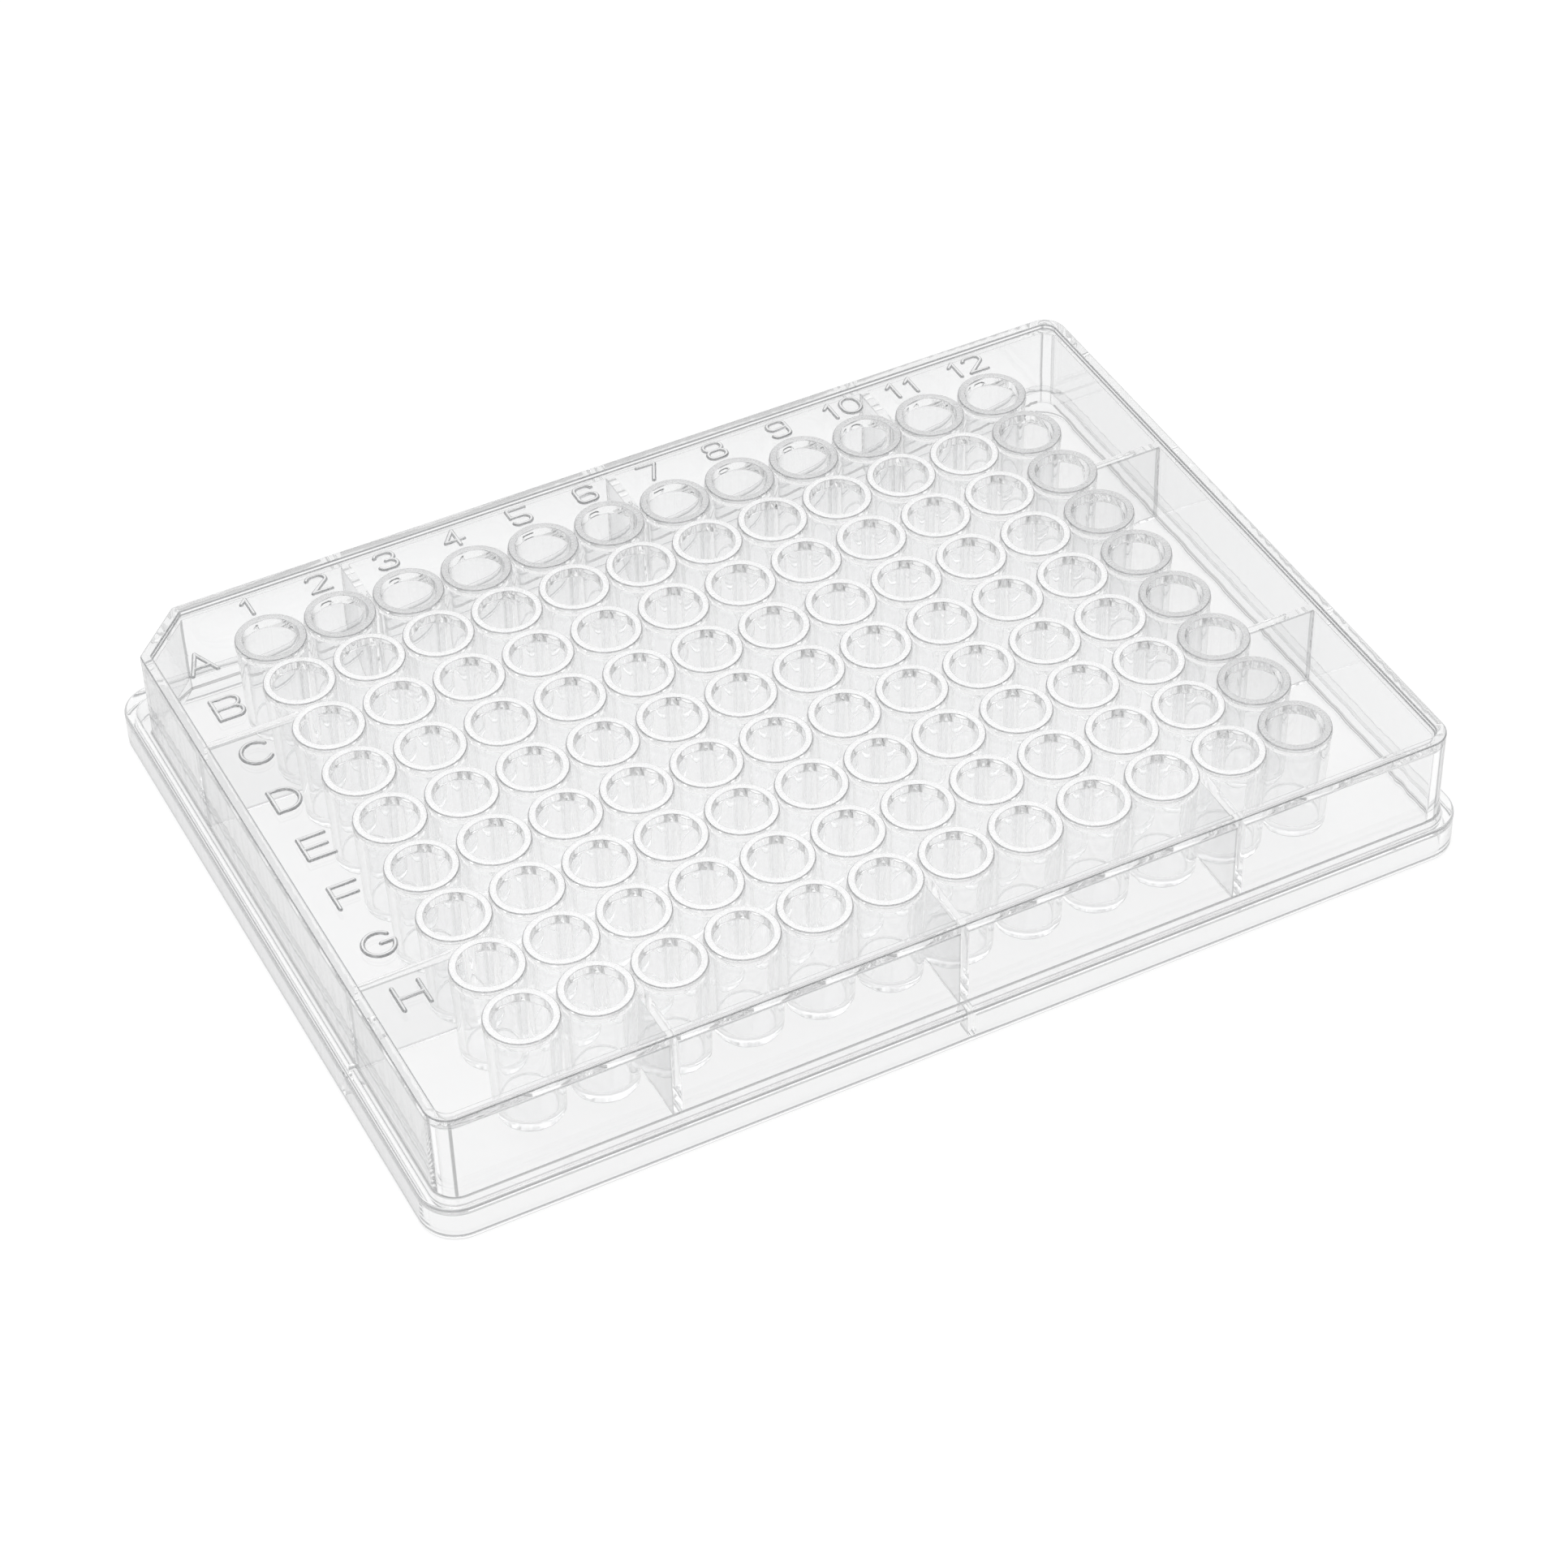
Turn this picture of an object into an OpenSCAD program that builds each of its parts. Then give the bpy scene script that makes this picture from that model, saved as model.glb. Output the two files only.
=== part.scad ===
// Clear well plate: a one-piece moulding. Open wells hang as tapered tubes from a
// thin deck, inside a skirt that steps out to a wider base. Millimetres, +X along
// the numbered columns, +Y towards row A, +Z up, origin under the middle of the base.

/* [Base] */
// Length of the base along the columns
base_length = 133; // [128:0.5:150]
// Width of the base along the rows
base_width = 97.2; // [92:0.2:115]
// Height of the base from the bench up to its step
base_height = 4.8; // [3:0.1:7]
// How far the base stands out from the wall above it
base_step = 1.8; // [1:0.1:4]
// Corner radius of the base
base_corner_r = 4.6; // [2:0.1:9]

/* [Wall and deck] */
// Height of the plate from the bench to the rim
plate_height = 17; // [14.5:0.5:30]
// Thickness of the wall, of the base and of the step between them
wall = 1.3; // [0.8:0.1:1.8]
// Corner radius of the wall
wall_corner_r = 2.9; // [2:0.1:6]
// Length of the cut on each side of the corner beside well A1
corner_cut = 6.7; // [3.5:0.1:9]
// Thickness of the deck
deck = 1.2; // [0.8:0.1:2]
// How far the rim stands above the deck
rim_height = 0.6; // [0.4:0.1:1.5]

/* [Wells] */
// Number of columns
columns = 12; // [2:1:12]
// Number of rows
rows = 9; // [2:1:9]
// Distance between neighbouring wells
pitch = 9; // [8.8:0.1:9.2]
// Inside diameter at the mouth of a well
mouth_d = 6.86; // [6:0.02:7]
// Inside diameter at the floor of a well
floor_d = 6.35; // [5:0.05:6.6]
// Outside diameter of a tube at its lip
lip_d = 8.7; // [8:0.05:8.75]
// Outside diameter of a tube at its foot
foot_d = 8; // [7.2:0.05:8.3]
// How far the lips stand above the deck
lip_height = 0.5; // [0.2:0.1:1]
// Width of the bevel on the outer edge of a lip
lip_bevel = 0.25; // [0.1:0.05:0.35]
// Width of the bevel around the foot of a tube
foot_bevel = 0.4; // [0.2:0.05:0.5]
// Length of a tube from its lip to its foot
tube_length = 13.8; // [11:0.1:16]
// Thickness of the floor of a well
well_floor = 1.2; // [0.8:0.1:2]

/* [Ribs] */
// Thickness of the ribs between the wall and the outer tubes
rib = 1.05; // [0.8:0.05:1.5]
// Distance between the ribs of the front and back walls, in wells
long_rib_spacing = 4; // [2:1:5]
// Distance between the ribs of the wall beside the row letters, in wells
letter_rib_spacing = 5; // [3:2:7]
// Distance between the ribs of the opposite wall, in wells
plain_rib_spacing = 4; // [2:2:8]
// Length of the small gussets that brace the base below a rib
gusset_length = 3.2; // [1:0.1:3.4]

/* [Labels] */
// Height of the row letters
letter_height = 4.3; // [3:0.1:6]
// Height of the column numbers
number_height = 3.6; // [2.6:0.1:4.4]
// Width of the strokes of the labels
label_stroke = 0.6; // [0.4:0.05:0.8]
// How far the labels stand above the deck
label_relief = 0.3; // [0.15:0.05:0.5]

/* [Hidden] */
$fn = 48;
clear = [0.93, 0.95, 0.96, 0.5];
cut = 1;                       // how far a cut runs past the face it opens
fit = 0.2;                     // how far parts of the moulding run into each other
wall_length = base_length - 2 * base_step;
wall_width = base_width - 2 * base_step;
deck_top = plate_height - rim_height;
deck_under = deck_top - deck;
lip_top = deck_top + lip_height;
foot_z = lip_top - tube_length;
floor_z = foot_z + well_floor;
step_under = base_height - wall;
corner_diagonal = 2 - sqrt(2); // what an inset takes off the legs of a 45 degree cut
grid_x = (columns - 1) * pitch / 2;
grid_y = (rows - 1) * pitch / 2;
// the labels stand midway between the outermost lips and the rim
letter_x = -(grid_x + lip_d / 2 + wall_length / 2 - wall) / 2;
number_y = (grid_y + lip_d / 2 + wall_width / 2 - wall) / 2;

// Rectangle with four round corners, centred
module rounded_rect(length, width, r) {
    square([length - 2 * r, width], center = true);
    square([length, width - 2 * r], center = true);
    for (sx = [-1, 1], sy = [-1, 1])
        translate([sx * (length / 2 - r), sy * (width / 2 - r)]) circle(r);
}

// Outline of the wall, drawn in by an inset, with its cut corner beside A1
module wall_outline(inset) {
    length = wall_length - 2 * inset;
    width = wall_width - 2 * inset;
    leg = corner_cut - corner_diagonal * inset;
    difference() {
        rounded_rect(length, width, wall_corner_r - inset);
        translate([-length / 2, width / 2])
            polygon([[-cut, cut], [-cut, -leg - cut], [leg + cut, cut]]);
    }
}

// Base, step, wall, deck and rim, open from below
module skirt_and_deck() {
    difference() {
        union() {
            linear_extrude(base_height) rounded_rect(base_length, base_width, base_corner_r);
            linear_extrude(plate_height) wall_outline(0);
        }
        translate([0, 0, -cut]) linear_extrude(deck_under + cut) wall_outline(wall);
        translate([0, 0, -cut]) linear_extrude(step_under + cut)
            rounded_rect(base_length - 2 * wall, base_width - 2 * wall, base_corner_r - wall);
        translate([0, 0, deck_top]) linear_extrude(rim_height + cut) wall_outline(wall);
    }
}

// One solid tube, lip up, before it is bored
module tube() {
    rotate_extrude()
        polygon([
            [0, foot_z],
            [foot_d / 2 - foot_bevel, foot_z],
            [foot_d / 2, foot_z + foot_bevel],
            [lip_d / 2, lip_top - lip_bevel],
            [lip_d / 2 - lip_bevel, lip_top],
            [0, lip_top]
        ]);
}

// The inside of one well, tapered to a flat floor
module well() {
    mouth_slope = (mouth_d - floor_d) / (lip_top - floor_z);
    translate([0, 0, floor_z])
        cylinder(d1 = floor_d, d2 = mouth_d + mouth_slope * cut, h = lip_top - floor_z + cut);
}

// Places its children at every well
module at_wells() {
    for (column = [0 : columns - 1], row = [0 : rows - 1])
        translate([column * pitch - grid_x, grid_y - row * pitch, 0]) children();
}

// Upright rib along Y from a long wall to the outermost tubes
module long_rib(x, side) {
    inner = grid_y;
    outer = wall_width / 2 - wall + fit;
    translate([x - rib / 2, side > 0 ? inner : -outer, step_under])
        cube([rib, outer - inner, deck_under + fit - step_under]);
}

// Upright rib along X from a short wall to the outermost tubes
module short_rib(y, side) {
    inner = grid_x;
    outer = wall_length / 2 - wall + fit;
    translate([side > 0 ? inner : -outer, y - rib / 2, step_under])
        cube([outer - inner, rib, deck_under + fit - step_under]);
}

// All ribs between the wall and the tubes
module ribs() {
    for (side = [-1, 1], i = [-1 : 1]) long_rib(i * long_rib_spacing * pitch, side);
    for (end = [-1, 1]) {
        short_rib(end * letter_rib_spacing * pitch / 2, -1);
        short_rib(end * plain_rib_spacing * pitch / 2, 1);
    }
}

// Small gussets behind the base, under the middle front rib and one letter-side rib
module gussets() {
    reach = base_step + fit;
    translate([-rib / 2, -base_width / 2 + wall - fit, step_under - gusset_length])
        cube([rib, reach, gusset_length + fit]);
    translate([-base_length / 2 + wall - fit, -letter_rib_spacing * pitch / 2 - rib / 2,
               step_under - gusset_length])
        cube([reach, rib, gusset_length + fit]);
}

// Straight stroke of a label, with round ends
module stroke(from, to) {
    run = to - from;
    translate(from) rotate(atan2(run[1], run[0]))
        translate([0, -label_stroke / 2]) square([norm(run), label_stroke]);
    for (end = [from, to]) translate(end) circle(d = label_stroke);
}

// Strokes from point to point
module path(points) {
    for (i = [1 : len(points) - 1]) stroke(points[i - 1], points[i]);
}

// Round stroke about a centre, from one angle to another, anticlockwise
module bend(centre, r, from, to) {
    far = 2 * r + label_stroke;
    gap = 360 - (to - from);
    translate(centre) {
        difference() {
            circle(r + label_stroke / 2);
            circle(r - label_stroke / 2);
            if (gap > 0)
                polygon([
                    [0, 0],
                    for (k = [0 : 3]) far * [cos(to + gap * k / 3), sin(to + gap * k / 3)]
                ]);
        }
        if (gap > 0)
            for (a = [from, to]) translate(r * [cos(a), sin(a)]) circle(d = label_stroke);
    }
}

// Letter A to H, centred on the origin
module letter(c) {
    h = (letter_height - label_stroke) / 2; // half height of the centre lines
    w = 0.86 * h;                           // half width of the centre lines
    r = h / 2;
    if (c == "A") {
        path([[-w, -h], [0, h], [w, -h]]);
        stroke([-w * 0.7, -h * 0.4], [w * 0.7, -h * 0.4]);
    }
    if (c == "B") {
        path([[w - r, 0], [-w, 0], [-w, h], [w - r, h]]);
        path([[-w, 0], [-w, -h], [w - r, -h]]);
        for (y = [-r, r]) bend([w - r, y], r, -90, 90);
    }
    if (c == "C" || c == "G") bend([0, 0], h, 40, c == "C" ? 320 : 360);
    if (c == "D") {
        path([[w - h, -h], [-w, -h], [-w, h], [w - h, h]]);
        bend([w - h, 0], h, -90, 90);
    }
    if (c == "E" || c == "F") {
        path([[w, h], [-w, h], [-w, -h]]);
        stroke([-w, 0], [w * 0.8, 0]);
    }
    if (c == "E") stroke([-w, -h], [w, -h]);
    if (c == "G") stroke([h, 0], [h * 0.15, 0]);
    if (c == "H") {
        for (x = [-w, w]) stroke([x, -h], [x, h]);
        stroke([-w, 0], [w, 0]);
    }
}

// Digit 0 to 9, centred on the origin
module digit(c) {
    h = (number_height - label_stroke) / 2; // half height of the centre lines
    w = 0.8 * h;                            // half width of the centre lines
    r = h / 2;                              // radius of the bowls
    flat = w - r;                           // half length of a bowl's flat
    if (c == "0") {
        for (side = [-1, 1]) {
            bend([0, side * (h - w)], w, side * 90 - 90, side * 90 + 90);
            stroke([side * w, w - h], [side * w, h - w]);
        }
    }
    if (c == "1") path([[-r, r], [0, h], [0, -h]]);
    if (c == "2") {
        bend([-flat, r], r, 90, 160);
        stroke([-flat, h], [flat, h]);
        bend([flat, r], r, -30, 90);
        path([[flat + r * cos(30), r * sin(30)], [-w, -h], [w, -h]]);
    }
    if (c == "3") {
        bend([-flat, r], r, 90, 160);
        bend([-flat, -r], r, 200, 270);
        for (y = [-h, h]) stroke([-flat, y], [flat, y]);
        stroke([0, 0], [flat, 0]);
        for (y = [-r, r]) bend([flat, y], r, -90, 90);
    }
    if (c == "4") path([[r * 0.5, -h], [r * 0.5, h], [-w, -h * 0.35], [w, -h * 0.35]]);
    if (c == "5") {
        path([[w, h], [-w, h], [-w, 0], [flat, 0]]);
        bend([flat, -r], r, -90, 90);
        stroke([-flat, -h], [flat, -h]);
        bend([-flat, -r], r, 200, 270);
    }
    if (c == "6" || c == "9") rotate(c == "9" ? 180 : 0) {
        bowl(-r, flat, r);
        stroke([-w, -r], [-w, r]);
        bend([-flat, r], r, 90, 180);
        stroke([-flat, h], [flat, h]);
        bend([flat, r], r, 20, 90);
    }
    if (c == "7") path([[-w, h], [w, h], [-w * 0.2, -h]]);
    if (c == "8") for (y = [-r, r]) bowl(y, flat, r);
}

// Closed bowl of a digit: two round ends and two flats, at a height
module bowl(y, flat, r) {
    bend([-flat, y], r, 90, 270);
    bend([flat, y], r, -90, 90);
    for (side = [-r, r]) stroke([-flat, y + side], [flat, y + side]);
}

// Raised row letters and column numbers on the deck
module labels() {
    letters = "ABCDEFGH";
    advance = 0.72 * number_height;
    translate([0, 0, deck_top - fit]) linear_extrude(fit + label_relief) {
        for (i = [0 : min(rows, len(letters)) - 1])
            translate([letter_x, grid_y - i * pitch]) letter(letters[i]);
        for (i = [0 : columns - 1]) {
            number = str(i + 1);
            last = len(number) - 1;
            for (k = [0 : last])
                translate([i * pitch - grid_x + (k - last / 2) * advance, number_y])
                    digit(number[k]);
        }
    }
}

// The whole plate in one clear piece
module plate() {
    color(clear)
        difference() {
            union() {
                skirt_and_deck();
                at_wells() tube();
                ribs();
                gussets();
                labels();
            }
            at_wells() well();
        }
}

plate();
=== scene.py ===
import math

import bmesh
import bpy
from mathutils import Matrix, Vector


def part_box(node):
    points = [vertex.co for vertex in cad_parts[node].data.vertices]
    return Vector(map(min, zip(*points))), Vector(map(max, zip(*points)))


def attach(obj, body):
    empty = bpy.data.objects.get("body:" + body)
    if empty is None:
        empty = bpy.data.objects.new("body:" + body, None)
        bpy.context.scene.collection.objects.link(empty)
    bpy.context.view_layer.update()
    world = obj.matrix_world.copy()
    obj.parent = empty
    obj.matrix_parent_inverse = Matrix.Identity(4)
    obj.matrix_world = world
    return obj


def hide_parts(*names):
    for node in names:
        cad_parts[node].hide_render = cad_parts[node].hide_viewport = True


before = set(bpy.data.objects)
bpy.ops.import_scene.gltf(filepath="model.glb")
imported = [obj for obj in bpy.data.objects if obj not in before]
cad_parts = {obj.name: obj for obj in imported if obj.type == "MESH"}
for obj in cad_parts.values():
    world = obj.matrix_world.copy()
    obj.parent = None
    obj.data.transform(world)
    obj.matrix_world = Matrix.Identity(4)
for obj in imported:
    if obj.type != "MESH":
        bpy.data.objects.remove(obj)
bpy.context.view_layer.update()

cadLow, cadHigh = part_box("plate")
mm = 0.001

# skirt, deck and rim, in millimetres; length, width and height come from the frame
skirt = {
    "baseHeight": 4.8,
    "baseStep": 1.8,
    "baseCorner": 4.6,
    "wall": 1.3,
    "wallCorner": 2.9,
    "cornerCut": 6.7,
    "cutRounding": 0.8,
    "leastCutRounding": 0.3,
    "deck": 1.2,
    "rimHeight": 0.6,
    "cornerSteps": 12,
    "edgeSteps": 3,
    "rimRounding": 0.22,
    "deckFillet": 0.2,
    "stepRounding": 0.35,
    "wallFootFillet": 0.3,
    "baseFootRounding": 0.3,
    "insideRounding": 0.3,
    "sliceTolerance": 1e-4,
}
baseLength = (cadHigh[0] - cadLow[0]) / mm
baseWidth = (cadHigh[1] - cadLow[1]) / mm
plateHeight = (cadHigh[2] - cadLow[2]) / mm
wallLength = baseLength - 2 * skirt["baseStep"]
wallWidth = baseWidth - 2 * skirt["baseStep"]
deckTop = plateHeight - skirt["rimHeight"]
deckUnder = deckTop - skirt["deck"]
stepUnder = skirt["baseHeight"] - skirt["wall"]

wells = {
    "pitch": 9.0,
    "columns": 12,
    "rows": 9,
    "mouth": 6.86,
    "floor": 6.35,
    "lip": 8.7,
    "foot": 8.0,
    "lipHeight": 0.5,
    "tubeLength": 13.8,
    "floorThickness": 1.2,
    "lipBevel": 0.13,
    "bevelEdge": 0.035,
    "bevelEase": 0.3,
    "mouthRounding": 0.1,
    "footRounding": 0.45,
    "floorRounding": 0.35,
    "deckFillet": 0.12,
    "filletRise": 0.85,
    "filletSteps": 2,
    "boreAboveLip": 1,
    "turnSteps": 36,
    "edgeSteps": 3,
}
lipTop = deckTop + wells["lipHeight"]
footZ = lipTop - wells["tubeLength"]
floorZ = footZ + wells["floorThickness"]
gridX = (wells["columns"] - 1) * wells["pitch"] / 2
gridY = (wells["rows"] - 1) * wells["pitch"] / 2

labels = {
    "letterHeight": 4.3,
    "numberHeight": 3.6,
    "stroke": 0.6,
    "slimmer": 0.016,
    "relief": 0.3,
    "aroundSteps": 12,
    "endSteps": 3,
    "endStart": 0.35,
    "bowStep": 15,
    "sharpTurn": 45,
    "samePlace": 0.01,
    "letterWidth": 0.86,
    "digitWidth": 0.8,
    "advance": 0.72,
}
labelX = -(gridX + wells["lip"] / 2 + wallLength / 2 - skirt["wall"]) / 2
labelY = (gridY + wells["lip"] / 2 + wallWidth / 2 - skirt["wall"]) / 2


def finishedPart(name, bm):
    # closed mesh in metres from a bmesh in millimetres
    bmesh.ops.recalc_face_normals(bm, faces=bm.faces)
    bmesh.ops.scale(bm, vec=(mm, mm, mm), verts=bm.verts)
    mesh = bpy.data.meshes.new(name)
    bm.to_mesh(mesh)
    bm.free()
    part = bpy.data.objects.new(name, mesh)
    bpy.context.scene.collection.objects.link(part)
    return part


def arcPoints(across, up, radius, start, end, steps):
    # points of an arc in a section, angles in degrees from outwards
    points = []
    for k in range(steps + 1):
        angle = math.radians(start + (end - start) * k / steps)
        points.append((across + radius * math.cos(angle), up + radius * math.sin(angle)))
    return points


def skinRings(bm, rings, endless=False):
    # quads between loops of the same length, with a cap at each end or the last joined to the first
    loops = [[bm.verts.new(point) for point in ring] for ring in rings]
    following = loops[1:] + loops[:1] if endless else loops[1:]
    for lower, upper in zip(loops, following):
        for k in range(len(lower)):
            after = (k + 1) % len(lower)
            bm.faces.new((lower[k], lower[after], upper[after], upper[k]))
    if not endless:
        bm.faces.new(loops[0])
        bm.faces.new(loops[-1])


def roundCorners(corners):
    # corners as x, y, radius, steps, anticlockwise
    ring = []
    for k, (x, y, radius, steps) in enumerate(corners):
        here = Vector((x, y))
        toBefore = (Vector(corners[k - 1][:2]) - here).normalized()
        toAfter = (Vector(corners[(k + 1) % len(corners)][:2]) - here).normalized()
        inward = (toBefore + toAfter).normalized()
        half = toBefore.angle(toAfter) / 2
        centre = here + inward * radius / math.sin(half)
        turn = math.pi - 2 * half
        start = math.atan2(-inward.y, -inward.x) - turn / 2
        for step in range(steps):
            angle = start + turn * step / (steps - 1)
            ring.append((centre.x + radius * math.cos(angle), centre.y + radius * math.sin(angle)))
    return ring


def wallRing(inset, z):
    # outline of the wall with its one cut corner, drawn in by inset
    x = wallLength / 2 - inset
    y = wallWidth / 2 - inset
    leg = skirt["cornerCut"] - (2 - math.sqrt(2)) * inset
    radius = skirt["wallCorner"] - inset
    cutRadius = max(skirt["cutRounding"] - inset, skirt["leastCutRounding"])
    steps = skirt["cornerSteps"]
    corners = [
        (x, y, radius, steps),
        (leg - x, y, cutRadius, steps // 2),
        (-x, y - leg, cutRadius, steps // 2),
        (-x, -y, radius, steps),
        (x, -y, radius, steps),
    ]
    return [(px, py, z) for px, py in roundCorners(corners)]


def baseRing(inset, z):
    # outline of the flange, drawn in by inset
    x = baseLength / 2 - inset
    y = baseWidth / 2 - inset
    radius = skirt["baseCorner"] - inset
    steps = skirt["cornerSteps"]
    corners = [
        (x, y, radius, steps),
        (-x, y, radius, steps),
        (-x, -y, radius, steps),
        (x, -y, radius, steps),
    ]
    return [(px, py, z) for px, py in roundCorners(corners)]


def makeSkirt():
    # one loft from the underside of the deck, round the foot and over the rim to the top of the deck
    wall = skirt["wall"]
    steps = skirt["edgeSteps"]
    inside = skirt["insideRounding"]
    foot = skirt["baseFootRounding"]
    edge = skirt["stepRounding"]
    fillet = skirt["wallFootFillet"]
    rim = skirt["rimRounding"]
    deckFillet = skirt["deckFillet"]
    rings = []

    def addBend(ringOf, inset, z, radius, start, end):
        for out, up in arcPoints(-inset, z, radius, start, end, steps):
            rings.append(ringOf(-out, up))

    addBend(wallRing, wall + inside, deckUnder - inside, inside, 90, 0)
    addBend(wallRing, wall - inside, stepUnder + inside, inside, 180, 270)
    addBend(baseRing, wall + inside, stepUnder - inside, inside, 90, 0)
    addBend(baseRing, wall - foot, foot, foot, 180, 270)
    addBend(baseRing, foot, foot, foot, 270, 360)
    addBend(baseRing, edge, skirt["baseHeight"] - edge, edge, 0, 90)
    addBend(wallRing, -fillet, skirt["baseHeight"] + fillet, fillet, 270, 180)
    addBend(wallRing, rim, plateHeight - rim, rim, 0, 90)
    addBend(wallRing, wall - rim, plateHeight - rim, rim, 90, 180)
    addBend(wallRing, wall + deckFillet, deckTop + deckFillet, deckFillet, 0, -90)
    bm = bmesh.new()
    skinRings(bm, rings)

    # slice it along the rows, columns and labels, so that what joins it meets small faces
    tolerance = skirt["sliceTolerance"]
    cutsX = [labelX] + [k * wells["pitch"] - gridX for k in range(wells["columns"])]
    cutsY = [labelY] + [k * wells["pitch"] - gridY for k in range(wells["rows"])]
    for direction, places in (((1, 0, 0), cutsX), ((0, 1, 0), cutsY)):
        for place in places:
            geom = bm.verts[:] + bm.edges[:] + bm.faces[:]
            middle = Vector(direction) * place
            bmesh.ops.bisect_plane(bm, geom=geom, dist=tolerance, plane_co=middle, plane_no=direction)
    return finishedPart("skirt", bm)


def turnAtWells(name, profile):
    # the closed profile, from axis to axis, turned about every well
    steps = wells["turnSteps"]
    bm = bmesh.new()
    for column in range(wells["columns"]):
        for row in range(wells["rows"]):
            x = column * wells["pitch"] - gridX
            y = gridY - row * wells["pitch"]
            rings = []
            for radius, z in profile:
                turns = [2 * math.pi * k / steps for k in range(steps)]
                rings.append([(x + radius * math.cos(a), y + radius * math.sin(a), z) for a in turns])
            skinRings(bm, rings)
    return finishedPart(name, bm)


def makeTubes():
    # the outsides of the wells, from the foot to the flat top of the lip
    foot = wells["foot"] / 2
    lip = wells["lip"] / 2
    steps = wells["edgeSteps"]
    rounding = wells["footRounding"]
    bevel = wells["lipBevel"]
    edge = wells["bevelEdge"]
    ease = wells["bevelEase"] * edge
    fillet = wells["deckFillet"]
    rise = wells["filletRise"] * fillet
    turns = wells["filletSteps"]
    under = foot + (lip - foot) * (deckUnder - footZ) / wells["tubeLength"]
    profile = arcPoints(foot - rounding, footZ + rounding, rounding, 270, 360, steps)
    profile += arcPoints(under + fillet, deckUnder - rise, fillet, 180, 90, turns)
    profile += arcPoints(lip + fillet, deckTop + rise, fillet, 270, 180, turns)
    profile += [(lip, lipTop - bevel), (lip - ease, lipTop - bevel + edge)]
    profile += [(lip - bevel + edge, lipTop - ease), (lip - bevel, lipTop)]
    return turnAtWells("tubes", profile)


def makeBores():
    # the insides of the wells, reaching out above the lips so that they cut them open
    floor = wells["floor"] / 2
    mouth = wells["mouth"] / 2
    steps = wells["edgeSteps"]
    rounding = wells["floorRounding"]
    flare = wells["mouthRounding"]
    profile = arcPoints(floor - rounding, floorZ + rounding, rounding, 270, 360, steps)
    profile += arcPoints(mouth + flare, lipTop - flare, flare, 180, 90, wells["filletSteps"])
    profile.append((mouth + flare, lipTop + wells["boreAboveLip"]))
    return turnAtWells("bores", profile)


ribs = {
    "thickness": 1.05,
    "footRounding": 0.3,
    "footSteps": 3,
    "longSpacing": 4,
    "letterSpacing": 5,
    "plainSpacing": 4,
    "gussetLength": 3.2,
    "gussetRounding": 0.48,
    "overlap": 0.2,
    "joint": 0.3,
}


def makeBar(bm, start, end, low, high, rounding):
    # upright bar between two points, its lower edges rounded, with narrow strips where it joins
    half = ribs["thickness"] / 2
    run = Vector(end) - Vector(start)
    side = Vector((-run.y, run.x)).normalized()
    strip = ribs["joint"] + ribs["overlap"]
    steps = ribs["footSteps"]
    section = arcPoints(rounding - half, low + rounding, rounding, 180, 270, steps)
    section += arcPoints(half - rounding, low + rounding, rounding, 270, 360, steps)
    section += [(half, high - strip), (half, high), (-half, high), (-half, high - strip)]
    rings = []
    for x, y in (start, tuple(Vector(end) - run.normalized() * strip), end):
        rings.append([(x + side.x * across, y + side.y * across, z) for across, z in section])
    skinRings(bm, rings)


def makeRibs():
    # ribs from the outer wells to the wall: three front and back, two at either end
    bm = bmesh.new()
    overlap = ribs["overlap"]
    top = deckUnder + overlap
    outerX = wallLength / 2 - skirt["wall"] + overlap
    outerY = wallWidth / 2 - skirt["wall"] + overlap
    rounding = ribs["footRounding"]
    for side in (-1, 1):
        for k in (-1, 0, 1):
            x = k * ribs["longSpacing"] * wells["pitch"]
            makeBar(bm, (x, side * gridY), (x, side * outerY), stepUnder, top, rounding)
        y = side * ribs["letterSpacing"] * wells["pitch"] / 2
        makeBar(bm, (-gridX, y), (-outerX, y), stepUnder, top, rounding)
        y = side * ribs["plainSpacing"] * wells["pitch"] / 2
        makeBar(bm, (gridX, y), (outerX, y), stepUnder, top, rounding)
    return finishedPart("ribs", bm)


def makeGussets():
    # small tongues behind the base, under the middle front rib and one rib beside the letters
    bm = bmesh.new()
    overlap = ribs["overlap"]
    low = stepUnder - ribs["gussetLength"]
    rounding = ribs["gussetRounding"] * ribs["thickness"]
    reach = skirt["baseStep"] + overlap
    front = -baseWidth / 2 + skirt["wall"] - overlap
    makeBar(bm, (0, front), (0, front + reach), low, stepUnder + 2 * overlap, rounding)
    left = -baseLength / 2 + skirt["wall"] - overlap
    y = -ribs["letterSpacing"] * wells["pitch"] / 2
    makeBar(bm, (left, y), (left + reach, y), low, stepUnder + 2 * overlap, rounding)
    return finishedPart("gussets", bm)


def splitAtCorners(points):
    # a stroke in pieces, so that no bead has to turn a sharp corner
    pieces = [[points[0]]]
    samePlace = labels["samePlace"]
    sharpTurn = math.radians(labels["sharpTurn"])
    for here, after in zip(points[1:], points[2:] + [None]):
        before = Vector(pieces[-1][-1])
        if (Vector(here) - before).length < samePlace:
            continue
        pieces[-1].append(here)
        if after is None or (Vector(after) - Vector(here)).length < samePlace:
            continue
        if (Vector(here) - before).angle(Vector(after) - Vector(here)) > sharpTurn:
            pieces.append([here])
    return pieces


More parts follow.
